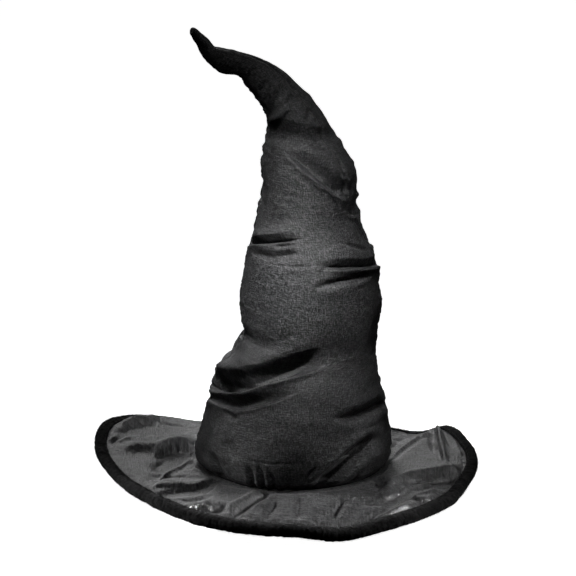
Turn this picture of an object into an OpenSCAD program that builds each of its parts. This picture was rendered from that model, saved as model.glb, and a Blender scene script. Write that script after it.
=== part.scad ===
// Slouched costume witch hat: satin crown over wadding, wired brim with a plush
// binding, sweatband and lining, and a stuffed tail that bends on a spine wire.
// Millimetres. +Z is up, +X is the wearer's left as seen from the front (-Y).
// The origin is the centre of the head opening, at the crown and brim seam.

/* [Head opening] */
// Inside radius of the sweatband, half of a 57 cm head's width
head_r = 91; // [88:0.5:91]
// Height of the sweatband
band_h = 32; // [24:1:36]
// Thickness of the sweatband
band_t = 1.6; // [1.2:0.1:1.6]

/* [Crown cloth] */
// Thickness of the crown's satin panels
panel_t = 1; // [0.8:0.1:1]
// Thickness of the crown's wadding
wadding_t = 5; // [3:0.5:5]
// Thickness of the lining
lining_t = 0.8; // [0.6:0.1:0.8]
// How tall the crown stands, as a share of its drawn sections
crown_rise = 0.99; // [0.97:0.005:1]

/* [Brim] */
// How much the brim's wings and droop are exaggerated, 1 as worn
brim_wave = 1; // [0.8:0.05:1]
// Lowest that the brim's edge may hang below the seam
brim_drop = 18.5; // [16:0.5:21]
// Thickness of each of the brim's two covers
cover_t = 0.8; // [0.6:0.1:0.8]
// Thickness of the stiffener between them
stiffener_t = 2.6; // [2:0.2:2.6]
// Radius of the edge wire
edge_wire_r = 1; // [0.8:0.1:1]

/* [Tail] */
// Radius of the spine wire
spine_r = 1; // [0.8:0.1:1.2]

/* [Hidden] */

satin = "#242426";
plush = "#0d0d0e";
cotton = "#1c1c1e";
wool = "#e8e4da";
steel = "#9a9da1";

gap = 0.5;                  // clearance between layers that could rub
seam_r = 102;               // crown and brim seam
brim_in = head_r + 2.6;     // inner edge of the brim's layers
brim_t = 2 * cover_t + stiffener_t;
brim_n = 64;                // segments round the brim
crown_n = 36;               // segments round the crown
half_n = crown_n / 2;

// Sections of the crown, from the seam to the tip: the left and right edge of
// each one (x, z, x, z), its half depth, and how far the right seam sits
// forward of the right edge, in degrees.
CROWN = [
    [-102, 0, 102, 0, 102, 0],
    [-103.5, 14, 103.5, 12, 104, 0],
    [-103, 30, 103, 28, 104, 0],
    [-97.5, 50, 100, 48, 101, 0],
    [-91.5, 68, 97, 66, 96, 0],
    [-86, 88, 91.5, 86, 91, 0],
    [-80, 106, 89, 102, 86, 0],
    [-68, 125, 87, 116, 79, 0],
    [-57, 142, 87, 132, 74, 0],
    [-53, 150, 88, 142, 72, 0],      // slouch fold
    [-56, 167, 90, 158, 73, 0],
    [-56.5, 185, 91, 177, 74, 0],
    [-54, 205, 91, 198, 73, 0],
    [-51, 223, 88, 219, 70, 0],
    [-46.5, 245, 81.5, 242, 65, 2],
    [-41, 265, 73.5, 264, 59, 10],
    [-36, 287, 67, 286, 54, 25],
    [-33.5, 307, 65, 306, 51, 36],
    [-33.5, 329, 63.5, 328, 48, 38],
    [-32.5, 349, 55, 348, 43, 38],
    [-31, 365, 44, 366, 37, 38],
    [-29.5, 381, 36.5, 382, 32, 38],  // neck fold
    [-33.5, 397, 22, 406.8, 28, 38],
    [-42, 410, 5, 425, 24.5, 34],
    [-49.5, 421.8, -8.5, 438, 22, 26],
    [-56.5, 431.5, -27, 450, 17.5, 16],
    [-67.5, 435.8, -44.5, 457.8, 16, 8],
    [-80, 441, -61, 461.6, 13.5, 0],
    [-91, 449, -76, 464, 10.5, 0],
    [-97.8, 457.6, -83.7, 465.2, 8.4, 0], // tip fold
    [-102.5, 466.5, -89.8, 473.6, 7.4, 0],
    [-107, 473.8, -95.8, 480.4, 6.8, 0],
    [-111, 480, -101, 486.2, 6, 0],
    [-110.8, 484, -104.2, 487.6, 4, 0],
    [-108.8, 486.2, -106.8, 487.2, 1, 0]
];
slouch_u = 9;   // sections at the slouch and neck folds
neck_u = 21;

// Rim of the brim at every 15 degrees round from +X: radius and height of its
// outermost line.
RIM = [[196, 2], [196, 4], [196, 7], [197, -14], [199, -20], [200, -21],
    [201, -21], [203, -21], [206, -15], [209, 2], [211, 17], [212, 27],
    [212, 25], [211, 20], [208, 10.5], [205, 3], [203, -5], [201, -9],
    [200, -11], [200, -18], [199, -12.5], [198, -10], [197, -8], [196, 1]];

// Catmull-Rom through a list of rows
function cr(a, b, c, d, t) = 0.5 * (2 * b + (c - a) * t + (2 * a - 5 * b + 4 * c - d) * t * t
    + (3 * b - a - 3 * c + d) * t * t * t);
function at(T, i) = T[max(0, min(len(T) - 1, i))];
function row(T, u) = let (i = min(len(T) - 2, floor(u)), t = u - i)
    cr(at(T, i - 1), T[i], at(T, i + 1), at(T, i + 2), t);
function turn(T, a) = let (n = len(T), s = a * n / 360, i = floor(s), t = s - i)
    cr(T[(i - 1 + n) % n], T[i % n], T[(i + 1) % n], T[(i + 2) % n], t);

// Crown: centre of a section, and a point at angle a on it, inset by d
function mid(u) = let (s = row(CROWN, u)) [(s[0] + s[2]) / 2, 0, (s[1] + s[3]) / 2 * crown_rise];
function half(u) = let (s = row(CROWN, u)) [s[2] - s[0], 0, (s[3] - s[1]) * crown_rise] / 2;
function skin(u, a, d) = let (h = half(u))
    mid(u) + h * max(0.05, 1 - d / norm(h)) * cos(a) + [0, max(0.1, row(CROWN, u)[4] - d) * sin(a), 0];
function seam(u) = row(CROWN, u)[5];
function front_a(u, j) = 180 + (180 - seam(u)) * j / half_n;
function back_a(u, j) = -seam(u) + (180 + seam(u)) * j / half_n;

// Brim: a point at share v from inner edge to rim, angle a, depth d under the top
function rim(a) = turn(RIM, a);
function rim_z(a) = max(rim(a)[1] * brim_wave, -brim_drop);
function rim_r(a) = rim(a)[0] - 6.8;
function brim_q(r, a) = max(0, (r - seam_r) / (rim_r(a) + 6.8 - seam_r));
function brim_z(r, a) = rim_z(a) * pow(brim_q(r, a), 1.4);
function brim_m(r, a) = rim_z(a) * 1.4 * pow(brim_q(r, a), 0.4) / (rim_r(a) + 6.8 - seam_r);
function polar(r, a, z) = [r * cos(a), r * sin(a), z];
function brim(v, a, d) = let (r = brim_in + (rim_r(a) - brim_in) * v, m = brim_m(r, a), c = 1 / sqrt(1 + m * m))
    polar(r + d * m * c, a, brim_z(r, a) - d * c);
// A point in the edge's own section: x outward, n up, from the middle of the layers
function edge(a, x, n) = let (r = rim_r(a), m = brim_m(r, a), c = 1 / sqrt(1 + m * m))
    polar(r + (n - brim_t / 2) * -m * c + x * c, a, brim_z(r, a) + (n - brim_t / 2) * c + x * m * c);

// Solids from grids of points. Rows run along the part, columns run round it.
function grid_faces(nr, nc, o, f) = [for (i = [0:nr - 2], j = [0:nc - 2])
    let (a = o + i * nc + j, b = a + 1, c = b + nc, d = a + nc)
    each (f ? [[a, c, b], [a, d, c]] : [[a, b, c], [a, c, d]])];
function wrap_faces(nr, nc, o, f) = [for (i = [0:nr - 2], j = [0:nc - 1])
    let (a = o + i * nc + j, b = o + i * nc + (j + 1) % nc, c = b + nc, d = a + nc)
    each (f ? [[a, c, b], [a, d, c]] : [[a, b, c], [a, c, d]])];
function flat(g) = [for (r = g) each r];

// A sheet with a front and a back grid and four edges
module sheet(g, h) {
    nr = len(g); nc = len(g[0]); o = nr * nc;
    polyhedron(concat(flat(g), flat(h)), concat(
        grid_faces(nr, nc, 0, true), grid_faces(nr, nc, o, false),
        [for (i = [0:nr - 2]) let (a = i * nc, b = a + nc) each [[a, o + a, o + b], [a, o + b, b]]],
        [for (i = [0:nr - 2]) let (a = i * nc + nc - 1, b = a + nc) each [[a, b, o + b], [a, o + b, o + a]]],
        [for (j = [0:nc - 2]) let (a = j, b = a + 1) each [[a, b, o + b], [a, o + b, o + a]]],
        [for (j = [0:nc - 2]) let (a = (nr - 1) * nc + j, b = a + 1) each [[a, o + b, b], [a, o + a, o + b]]]));
}
// A sleeve with an outer and an inner grid that both close round
module sleeve(g, h) {
    nr = len(g); nc = len(g[0]); o = nr * nc; e = (nr - 1) * nc;
    polyhedron(concat(flat(g), flat(h)), concat(
        wrap_faces(nr, nc, 0, true), wrap_faces(nr, nc, o, false),
        [for (j = [0:nc - 1]) let (b = (j + 1) % nc) each [[j, b, o + b], [j, o + b, o + j]]],
        [for (j = [0:nc - 1]) let (b = (j + 1) % nc) each [[e + j, o + e + b, e + b], [e + j, o + e + j, o + e + b]]]));
}
// A sleeve whose end is closed by a point
module thimble(g, h, p, q) {
    nr = len(g); nc = len(g[0]); o = nr * nc; e = (nr - 1) * nc; t = 2 * o;
    polyhedron(concat(flat(g), flat(h), [p, q]), concat(
        wrap_faces(nr, nc, 0, true), wrap_faces(nr, nc, o, false),
        [for (j = [0:nc - 1]) let (b = (j + 1) % nc) each [[j, b, o + b], [j, o + b, o + j]]],
        [for (j = [0:nc - 1]) let (b = (j + 1) % nc) [e + j, t, e + b]],
        [for (j = [0:nc - 1]) let (b = (j + 1) % nc) [o + e + b, t + 1, o + e + j]]));
}
// A closed loop of one section polygon
module loop(g) {
    n = len(g); nc = len(g[0]);
    polyhedron(flat(g), [for (i = [0:n - 1], j = [0:nc - 1])
        let (k = (i + 1) % n, a = i * nc + j, b = i * nc + (j + 1) % nc, c = k * nc + (j + 1) % nc, d = k * nc + j)
        each [[a, b, c], [a, c, d]]]);
}
module rod(p, q, r) {
    v = q - p;
    translate(p) rotate([0, acos(v[2] / norm(v)), atan2(v[1], v[0])]) cylinder(h = norm(v), r = r, $fn = 24);
}
// A wire bent along a path that keeps to the hat's middle plane
function unit(v) = v / norm(v);
function tube(path, r, m) = let (n = len(path)) [for (i = [0:n - 1])
    let (t = unit(unit(path[min(n - 1, i + 1)] - path[i == n - 1 ? i - 1 : i])
            + unit(path[i == 0 ? 1 : i] - path[max(0, i - 1)])),
        s = [t[2], 0, -t[0]])
    [for (j = [0:m - 1]) path[i] + r * (cos(j * 360 / m) * s + [0, sin(j * 360 / m), 0])]];
module wire(path, r) {
    n = len(path); m = 12; e = (n - 1) * m;
    g = tube(path, r, m);
    polyhedron(concat(flat(g), [path[0], path[n - 1]]), concat(
        wrap_faces(n, m, 0, false),
        [for (j = [0:m - 1]) [n * m, (j + 1) % m, j]],
        [for (j = [0:m - 1]) [n * m + 1, e + j, e + (j + 1) % m]]));
}

// ---- brim ----
brim_v = [0, 0.08, 0.3, 0.53, 0.76, 1];
module brim_layer(d0, d1)
    sleeve([for (v = brim_v) [for (k = [0:brim_n - 1]) brim(v, k * 360 / brim_n, d1)]],
        [for (v = brim_v) [for (k = [0:brim_n - 1]) brim(v, k * 360 / brim_n, d0)]]);
module brim_top_cover() { color(satin) brim_layer(0, cover_t); }
module brim_stiffener() { color(wool) brim_layer(cover_t, cover_t + stiffener_t); }
module brim_under_cover() { color(satin) brim_layer(cover_t + stiffener_t, brim_t); }
function wire_at(k) = edge(k * 360 / brim_n, edge_wire_r + 0.7, 0);
module brim_edge_wire() {
    color(steel) loop([for (k = [0:brim_n - 1]) [for (j = [0:7])
        edge(k * 360 / brim_n, edge_wire_r + 0.7 + edge_wire_r * cos(-45 * j), edge_wire_r * sin(-45 * j))]]);
}
module edge_wire_ferrule() {
    p = wire_at(16); q = wire_at(17); m = (p + q) / 2; d = unit(q - p);
    color("silver") difference() {
        rod(m - d * 6, m + d * 6, edge_wire_r + 0.55);
        rod(m - d * 7, m + d * 7, edge_wire_r + 0.1);
    }
}
// Section of the binding, folded over the edge: x outward, n up
binding = [[-5, 4.3], [-5, 2.4], [3.5, 2.4], [3.5, -2.4], [-7, -2.4], [-7, -4.4],
    [-2, -5], [3, -4.4], [5.8, -2.6], [6.6, 0], [5.8, 2.6], [3, 4.4], [-1, 5]];
module edge_binding() {
    color(plush) loop([for (k = [0:brim_n - 1]) [for (p = binding) edge(k * 360 / brim_n, p[0], p[1])]]);
}
// The lockstitch that holds both legs of the binding, above and below the brim
module binding_stitching() {
    color(cotton) for (k = [0:brim_n - 1], p = [[-3.6, 4.97], [-5.4, -5.02]]) {
        a = edge(k * 360 / brim_n, p[0], p[1]);
        b = edge((k + 1) * 360 / brim_n, p[0], p[1]);
        for (t = [0.1, 0.6]) rod(a + (b - a) * t, a + (b - a) * (t + 0.3), 0.22);
    }
}

// ---- head opening ----
module ring(r0, r1, z0, z1) difference() {
    translate([0, 0, z0]) cylinder(h = z1 - z0, r = r1, $fn = 180);
    translate([0, 0, z0 - 1]) cylinder(h = z1 - z0 + 2, r = r0, $fn = 180);
}
module sweatband() { color(cotton) ring(head_r, head_r + band_t, 0, band_h); }
module headline_tape() { color(cotton) ring(head_r + 1.8, head_r + 2.3, -brim_t, 10); }
module sweatband_stitching() {
    color("gray") for (k = [0:95]) rotate([0, 0, k * 3.75])
        translate([head_r + 0.8, 0, -0.27]) rotate([90, 0, 0]) cylinder(h = 4, r = 0.25, center = true, $fn = 16);
}
module care_label() {
    d = in_2 + 2.6 * gap + lining_t + 0.4;
    color("white") sheet([for (u = [2.2, 2.8, 3.4, 4]) [for (a = [81:3:99]) skin(u, a, d)]],
        [for (u = [2.2, 2.8, 3.4, 4]) [for (a = [81:3:99]) skin(u, a, d + 0.5)]]);
}

// ---- crown ----
panel_u = [for (u = [0:1:32]) u, 32.5, 33, 34];
module crown_front_panel() {
    color(satin) sheet([for (u = panel_u) [for (j = [0:half_n]) skin(u, front_a(u, j), 0)]],
        [for (u = panel_u) [for (j = [0:half_n]) skin(u, front_a(u, j), panel_t)]]);
}
module crown_back_panel() {
    color(satin) sheet([for (u = panel_u) [for (j = [0:half_n]) skin(u, back_a(u, j), 0)]],
        [for (u = panel_u) [for (j = [0:half_n]) skin(u, back_a(u, j), panel_t)]]);
}
in_1 = panel_t + gap;
in_2 = in_1 + wadding_t;
function around(u, d) = [for (j = [0:crown_n - 1]) skin(u, j * 360 / crown_n, d)];
// The wadding is cut back either side of the slouch fold, most at the sides,
// so that the fold can close up. A ring of points between two sections:
function between(u, t, d) = skin(floor(u), t[0], d) * (1 - t[1]) + skin(floor(u) + 1, t[0], d) * t[1];
function below_fold(d) = [for (j = [0:crown_n - 1]) let (a = j * 360 / crown_n)
    between(slouch_u - 1, [a, 0.12 + 0.73 * (1 - abs(cos(a)))], d)];
function above_fold(d) = [for (j = [0:crown_n - 1]) let (a = j * 360 / crown_n)
    between(slouch_u, [a, 0.06 + 0.54 * abs(cos(a))], d)];
module crown_wadding_lower() {
    u1 = slouch_u - 1;
    color(wool) sleeve(concat([for (u = [0:1:u1]) around(u, in_1)], [below_fold(in_1)]),
        concat([for (u = [0:1:u1]) around(u, in_2)], [below_fold(in_2)]));
}
module crown_wadding_upper() {
    u0 = slouch_u + 1; u1 = neck_u - 1;
    color(wool) sleeve(concat([above_fold(in_1)], [for (u = [u0:1:u1]) around(u, in_1)]),
        concat([above_fold(in_2)], [for (u = [u0:1:u1]) around(u, in_2)]));
}
module crown_lining() {
    d = in_2 + gap; t = lining_t;
    color(cotton) thimble(
        concat([for (u = [0:1:14]) around(u, d)], [around(14.8, d + 8), around(15.3, d + 22), around(15.6, d + 38)]),
        concat([for (u = [0:1:14]) around(u, d + t)], [around(14.75, d + 8 + t), around(15.25, d + 22 + t), around(15.54, d + 38 + t)]),
        mid(15.68), mid(15.64));
}

// ---- stuffed tail and its spine wire ----
// Stuffing between two sets of sections, bored for the casing of the wire
module stuffing(outer_u, inner_u, d)
    color(wool) sleeve([for (u = outer_u) around(u, d)], tube([for (u = inner_u) mid(u)], casing_r + 0.3, crown_n));
casing_r = spine_r + 0.7;
neck_outer = [17, 17.5, 18, 19, 20];
neck_inner = [16.4, 17, 18, 19, 20.85];
tail_outer = [22, 23, 24, 25, 26, 27, 28.2];
tail_inner = [21.15, 23, 24, 25, 26, 27, 28.8];
tip_outer = [29.7, 30, 30.5, 31.1];
tip_inner = [29.25, 30, 30.5, 31.1];
module neck_stuffing() { stuffing(neck_outer, neck_inner, in_2 + gap); }
module tail_stuffing() { stuffing(tail_outer, tail_inner, in_1 + 1.5); }
module tip_stuffing() { stuffing(tip_outer, tip_inner, in_1 + 1); }
module wire_piece(us)
    color(steel) wire([for (u = us) mid(u)], spine_r);
module spine_wire_neck() { wire_piece([16, 16.4, 17, 18, 19, 20.85]); }
module spine_wire_tail() { wire_piece(tail_inner); }
module spine_wire_tip() { wire_piece([29.25, 30, 30.5, 31.1, 32]); }
// The cloth tube that keeps the wire in the middle of the stuffing, whole from end to end
casing_u = [16.5, 17, 18, 19, 20.85, 21.15, 23, 24, 25, 26, 27, 28.8, 29.25, 30, 30.5, 31];
module wire_casing() {
    path = [for (u = casing_u) mid(u)];
    color(cotton) sleeve(tube(path, casing_r, 12), tube(path, spine_r + 0.3, 12));
}
module cap_on(p, q, l) {
    d = unit(q - p);
    color("dimgray") difference() {
        rod(p - d * 1.5, p + d * l, spine_r + 0.9);
        rod(p, p + d * (l + 1), spine_r + 0.02);
    }
}
module wire_base_cap() { cap_on(mid(16), mid(16.4), 7); }
module wire_tip_cap() { cap_on(mid(32), mid(31.1), 5); }

brim_top_cover();
brim_stiffener();
brim_under_cover();
brim_edge_wire();
edge_wire_ferrule();
edge_binding();
binding_stitching();
sweatband();
sweatband_stitching();
headline_tape();
care_label();
crown_front_panel();
crown_back_panel();
crown_wadding_lower();
crown_lining();
crown_wadding_upper();
neck_stuffing();
spine_wire_neck();
wire_base_cap();
wire_casing();
tail_stuffing();
spine_wire_tail();
tip_stuffing();
spine_wire_tip();
wire_tip_cap();
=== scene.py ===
# Slouched costume witch hat. Metres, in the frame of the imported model:
# +Z up, -Y towards the viewer, origin at the centre of the head opening.
import math

import bmesh
import bpy
import numpy as np
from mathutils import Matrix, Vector


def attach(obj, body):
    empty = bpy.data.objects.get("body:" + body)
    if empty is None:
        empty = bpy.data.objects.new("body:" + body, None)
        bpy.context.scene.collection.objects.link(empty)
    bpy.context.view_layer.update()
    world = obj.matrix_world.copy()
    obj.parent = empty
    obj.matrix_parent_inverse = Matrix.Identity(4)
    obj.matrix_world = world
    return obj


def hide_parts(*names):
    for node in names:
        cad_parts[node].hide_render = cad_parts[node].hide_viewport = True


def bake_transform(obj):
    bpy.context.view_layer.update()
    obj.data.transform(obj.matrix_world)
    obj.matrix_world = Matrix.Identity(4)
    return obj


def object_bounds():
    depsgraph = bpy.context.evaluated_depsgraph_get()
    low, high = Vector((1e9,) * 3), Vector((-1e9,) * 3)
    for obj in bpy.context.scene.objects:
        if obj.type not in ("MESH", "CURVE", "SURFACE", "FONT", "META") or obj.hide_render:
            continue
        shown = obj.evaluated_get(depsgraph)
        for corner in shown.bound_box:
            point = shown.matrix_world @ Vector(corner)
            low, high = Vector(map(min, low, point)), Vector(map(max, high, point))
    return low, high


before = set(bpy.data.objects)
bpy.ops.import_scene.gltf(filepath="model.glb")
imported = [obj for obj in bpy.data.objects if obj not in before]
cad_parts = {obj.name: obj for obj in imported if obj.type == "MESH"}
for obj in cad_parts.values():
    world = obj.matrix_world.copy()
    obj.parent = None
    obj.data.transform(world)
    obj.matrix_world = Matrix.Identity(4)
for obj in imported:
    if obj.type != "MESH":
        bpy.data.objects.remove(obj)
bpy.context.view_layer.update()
scene = bpy.context.scene

# ------------------------------------------------------------------ camera
cam_data = bpy.data.cameras.new("camera")
cam = bpy.data.objects.new("camera", cam_data)
scene.collection.objects.link(cam)
EL = math.radians(17.5)
TARGET = Vector((-0.0064, 0.0, 0.1945))
DIST = 14.0
cam.location = TARGET + Vector((0, -math.cos(EL), math.sin(EL))) * DIST
cam.rotation_euler = (math.radians(90) - EL, 0, 0)
cam_data.sensor_width = 36
cam_data.lens = 36 * DIST / 0.6106
cam_data.clip_end = 40
scene.camera = cam

# ------------------------------------------------------- the hat's own rules
# Millimetres here, as in the design; mesh() turns them to metres.
CROWN = np.array([
    [-102, 0, 102, 0, 102, 0], [-103.5, 14, 103.5, 12, 104, 0], [-103, 30, 103, 28, 104, 0],
    [-97.5, 50, 100, 48, 101, 0], [-91.5, 68, 97, 66, 96, 0], [-86, 88, 91.5, 86, 91, 0],
    [-80, 106, 89, 102, 86, 0], [-68, 125, 87, 116, 79, 0], [-57, 142, 87, 132, 74, 0],
    [-53, 150, 88, 142, 72, 0], [-56, 167, 90, 158, 73, 0], [-56.5, 185, 91, 177, 74, 0],
    [-54, 205, 91, 198, 73, 0], [-51, 223, 88, 219, 70, 0], [-46.5, 245, 81.5, 242, 65, 2],
    [-41, 265, 73.5, 264, 59, 10], [-36, 287, 67, 286, 54, 25], [-33.5, 307, 65, 306, 51, 36],
    [-33.5, 329, 63.5, 328, 48, 38], [-32.5, 349, 55, 348, 43, 38], [-31, 365, 44, 366, 37, 38],
    [-29.5, 381, 36.5, 382, 32, 38], [-33.5, 397, 22, 406.8, 28, 38], [-42, 410, 5, 425, 24.5, 34],
    [-49.5, 421.8, -8.5, 438, 22, 26], [-56.5, 431.5, -27, 450, 17.5, 16], [-67.5, 435.8, -44.5, 457.8, 16, 8],
    [-80, 441, -61, 461.6, 13.5, 0], [-91, 449, -76, 464, 10.5, 0], [-97.8, 457.6, -83.7, 465.2, 8.4, 0],
    [-102.5, 466.5, -89.8, 473.6, 7.4, 0], [-107, 473.8, -95.8, 480.4, 6.8, 0], [-111, 480, -101, 486.2, 6, 0],
    [-110.8, 484, -104.2, 487.6, 4, 0], [-108.8, 486.2, -106.8, 487.2, 1, 0]], float)
RISE = 0.99
CROWN[:, [1, 3]] *= RISE
RIM = np.array([[196, 2], [196, 4], [196, 7], [197, -14], [199, -20], [200, -21],
    [201, -21], [203, -21], [206, -15], [209, 2], [211, 17], [212, 27],
    [212, 25], [211, 20], [208, 10.5], [205, 3], [203, -5], [201, -9],
    [200, -11], [200, -18], [199, -12.5], [198, -10], [197, -8], [196, 1]], float)
SEAM_R, BRIM_IN, BRIM_T, DROP, EDGE = 102.0, 93.6, 4.2, 18.5, 6.8
HINGE = {"slouch": (17.5, 146.0 * RISE), "neck": (3.5, 381.5 * RISE), "tip": (-90.75, 461.4 * RISE)}


def catmull(a, b, c, d, t):
    return 0.5 * (2 * b + (c - a) * t + (2 * a - 5 * b + 4 * c - d) * t * t + (3 * b - a - 3 * c + d) * t ** 3)


def rows(T, u):
    n = len(T)
    u = np.clip(np.asarray(u, float), 0, n - 1)
    i = np.minimum(np.floor(u).astype(int), n - 2)
    t = (u - i)[..., None]
    return catmull(T[np.maximum(i - 1, 0)], T[i], T[i + 1], T[np.minimum(i + 2, n - 1)], t)


def turn(T, deg):
    n = len(T)
    s = np.asarray(deg, float) * n / 360
    i = np.floor(s).astype(int)
    t = (s - i)[..., None]
    return catmull(T[(i - 1) % n], T[i % n], T[(i + 1) % n], T[(i + 2) % n], t)


def crown_point(u, a):
    """Point of the crown's surface at section u and angle a (degrees)."""
    s = rows(CROWN, u)
    c, q = np.cos(np.radians(a)), np.sin(np.radians(a))
    x = (s[..., 0] + s[..., 2]) / 2 + (s[..., 2] - s[..., 0]) / 2 * c
    z = (s[..., 1] + s[..., 3]) / 2 + (s[..., 3] - s[..., 1]) / 2 * c
    return np.stack([x, s[..., 4] * q + 0 * x, z], -1)


def mid(u):
    s = rows(CROWN, np.array([u]))[0]
    return np.array([(s[0] + s[2]) / 2, 0, (s[1] + s[3]) / 2])


def rim_rz(a):
    q = turn(RIM, a)
    return q[..., 0] - EDGE, np.maximum(q[..., 1], -DROP)


def brim_z(r, a):
    rr, rz = rim_rz(a)
    q = np.maximum(0, (r - SEAM_R) / (rr + EDGE - SEAM_R))
    return rz * q ** 1.4


def edge(a, x, n):
    """Point in the edge's own section: x outward, n up from the middle of the layers."""
    rr, rz = rim_rz(a)
    q = (rr - SEAM_R) / (rr + EDGE - SEAM_R)
    z = rz * q ** 1.4
    m = rz * 1.4 * q ** 0.4 / (rr + EDGE - SEAM_R)
    c = 1 / np.sqrt(1 + m * m)
    r = rr - (n - BRIM_T / 2) * m * c + x * c
    h = z + (n - BRIM_T / 2) * c + x * m * c
    ca, sa = np.cos(np.radians(a)), np.sin(np.radians(a))
    return np.stack([r * ca, r * sa, h], -1)


# -------------------------------------------------------------- small tools
def smooth(x, a=0.0, b=1.0):
    t = np.clip((x - a) / (b - a), 0, 1)
    return t * t * (3 - 2 * t)


def bump(x, c, w):
    return np.exp(-((x - c) / w) ** 2)


def noise3(p, size, seed):
    """Smooth value noise from -1 to 1; size is one number or three, in mm."""
    q = p / np.asarray(size, float) + np.array([seed * 7.13, seed * 3.71, seed * 5.37])
    i = np.floor(q).astype(np.int64)
    f = q - i
    f = f * f * f * (f * (f * 6 - 15) + 10)
    out = 0
    for k in range(8):
        o = np.array([k & 1, k >> 1 & 1, k >> 2 & 1])
        j = i + o
        h = (j[..., 0] * 73856093 ^ j[..., 1] * 19349663 ^ j[..., 2] * 83492791 ^ seed * 2654435761) & 0xFFFFFFFF
        h = (h ^ h >> 15) * 2246822519 & 0xFFFFFFFF
        h = (h ^ h >> 13) * 3266489917 & 0xFFFFFFFF
        v = ((h ^ h >> 16) & 0xFFFFFF) / 0x7FFFFF - 1.0
        w = np.prod(np.where(o, f, 1 - f), -1)
        out = out + v * w
    return out


def noise1(x, size, seed):
    p = np.stack([x, 0 * x, 0 * x], -1)
    return noise3(p, size, seed)


def crease(s, t, pts, depth, width, up=0, upw=4, dn=0, dnw=4, over=0, fade=(0.3, 0.3)):
    """A fold line in a flat view (s across, t up). Returns the height and the shift across it.
    depth is the groove's, up and dn are the rolls of cloth left and right of its direction."""
    pts = np.asarray(pts, float)
    best = np.full(s.shape, 1e9)
    side = np.zeros(s.shape)
    along = np.zeros(s.shape)
    ns = np.zeros(s.shape)
    nt = np.zeros(s.shape)
    seg = np.hypot(*(pts[1:] - pts[:-1]).T)
    start = np.concatenate([[0], np.cumsum(seg)])
    for k, l in enumerate(seg):
        a, d = pts[k], pts[k + 1] - pts[k]
        q = np.clip(((s - a[0]) * d[0] + (t - a[1]) * d[1]) / l ** 2, 0, 1)
        dx, dy = s - (a[0] + q * d[0]), t - (a[1] + q * d[1])
        r = np.hypot(dx, dy)
        m = r < best
        best = np.where(m, r, best)
        side = np.where(m, np.where(d[0] * dy - d[1] * dx >= 0, 1.0, -1.0), side)
        along = np.where(m, (start[k] + q * l) / start[-1], along)
        ns = np.where(m, -d[1] / l, ns)
        nt = np.where(m, d[0] / l, nt)
    env = smooth(along / max(fade[0], 1e-3)) * smooth((1 - along) / max(fade[1], 1e-3))
    x = side * best
    h = -depth * np.exp(-(x / width) ** 2)
    h = h + up * bump(x, width + upw * 0.8, upw) + dn * bump(x, -width - dnw * 0.8, dnw)
    k = -over * bump(x, width * 0.9, width * 1.1)
    return h * env, k * env * ns, k * env * nt


def mesh(name, P, faces, uv=None, smooth_shade=True):
    """A mesh object from points in mm, quads or triangles as an int array, and UVs in metres per vertex."""
    me = bpy.data.meshes.new(name)
    P = np.asarray(P, np.float64).reshape(-1, 3) * 0.001
    F = np.asarray(faces, np.int32)
    n, k = F.shape
    me.vertices.add(len(P))
    me.vertices.foreach_set("co", P.astype(np.float32).ravel())
    me.loops.add(n * k)
    me.loops.foreach_set("vertex_index", F.ravel())
    me.polygons.add(n)
    me.polygons.foreach_set("loop_start", np.arange(0, n * k, k, dtype=np.int32))
    me.polygons.foreach_set("loop_total", np.full(n, k, np.int32))
    if uv is not None:
        lay = me.uv_layers.new(name="cloth")
        lay.data.foreach_set("uv", np.asarray(uv, np.float32).reshape(-1, 2)[F.ravel()].ravel())
    me.update(calc_edges=True)
    me.validate(clean_customdata=False)
    me.polygons.foreach_set("use_smooth", np.full(n, smooth_shade, bool))
    o = bpy.data.objects.new(name, me)
    scene.collection.objects.link(o)
    return o


def outward(o):
    bm = bmesh.new()
    bm.from_mesh(o.data)
    bmesh.ops.recalc_face_normals(bm, faces=bm.faces)
    if bm.calc_volume(signed=True) < 0:
        bmesh.ops.reverse_faces(bm, faces=bm.faces)
    bm.to_mesh(o.data)
    bm.free()


def grid_normals(P, wrap):
    """Outward unit normals of a grid (rows, columns): across columns x along rows."""
    if wrap:
        dc = np.roll(P, -1, 1) - np.roll(P, 1, 1)
    else:
        dc = np.gradient(P, axis=1)
    dr = np.gradient(P, axis=0)
    n = np.cross(dc, dr)
    return n / np.maximum(np.linalg.norm(n, axis=-1, keepdims=True), 1e-9)


def grid_faces(nr, nc, wrap, off=0, flip=False):
    i = np.arange(nr - 1)[:, None]
    j = np.arange(nc if wrap else nc - 1)[None, :]
    a = i * nc + j
    b = i * nc + (j + 1) % nc
    c = (i + 1) * nc + (j + 1) % nc
    d = (i + 1) * nc + j
    F = np.stack([a, b, c, d], -1).reshape(-1, 4) + off
    return F[:, ::-1] if flip else F


def shell(name, P, thick, wrap=False, uv=None, N=None, out=None):
    """A closed sheet: the grid P, its copy thick mm behind it, and the edges between."""
    nr, nc = P.shape[:2]
    if N is None:
        N = grid_normals(P, wrap)
    Q = P - N * thick if out is None else out
    o = nr * nc
    F = [grid_faces(nr, nc, wrap), grid_faces(nr, nc, wrap, o, True)]
    j = np.arange(nc if wrap else nc - 1)
    b = (j + 1) % nc
    e = (nr - 1) * nc
    F.append(np.stack([j, o + j, o + b, b], -1))
    F.append(np.stack([e + j, e + b, o + e + b, o + e + j], -1))
    if not wrap:
        i = np.arange(nr - 1) * nc
        F.append(np.stack([i, i + nc, o + i + nc, o + i], -1))
        i = i + nc - 1
        F.append(np.stack([i, o + i, o + i + nc, i + nc], -1))
    V = np.concatenate([P.reshape(-1, 3), Q.reshape(-1, 3)])
    U = None
    if uv is not None:
        U = np.concatenate([uv.reshape(-1, 2)] * 2)
    return mesh(name, V, np.concatenate(F), U)


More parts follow.
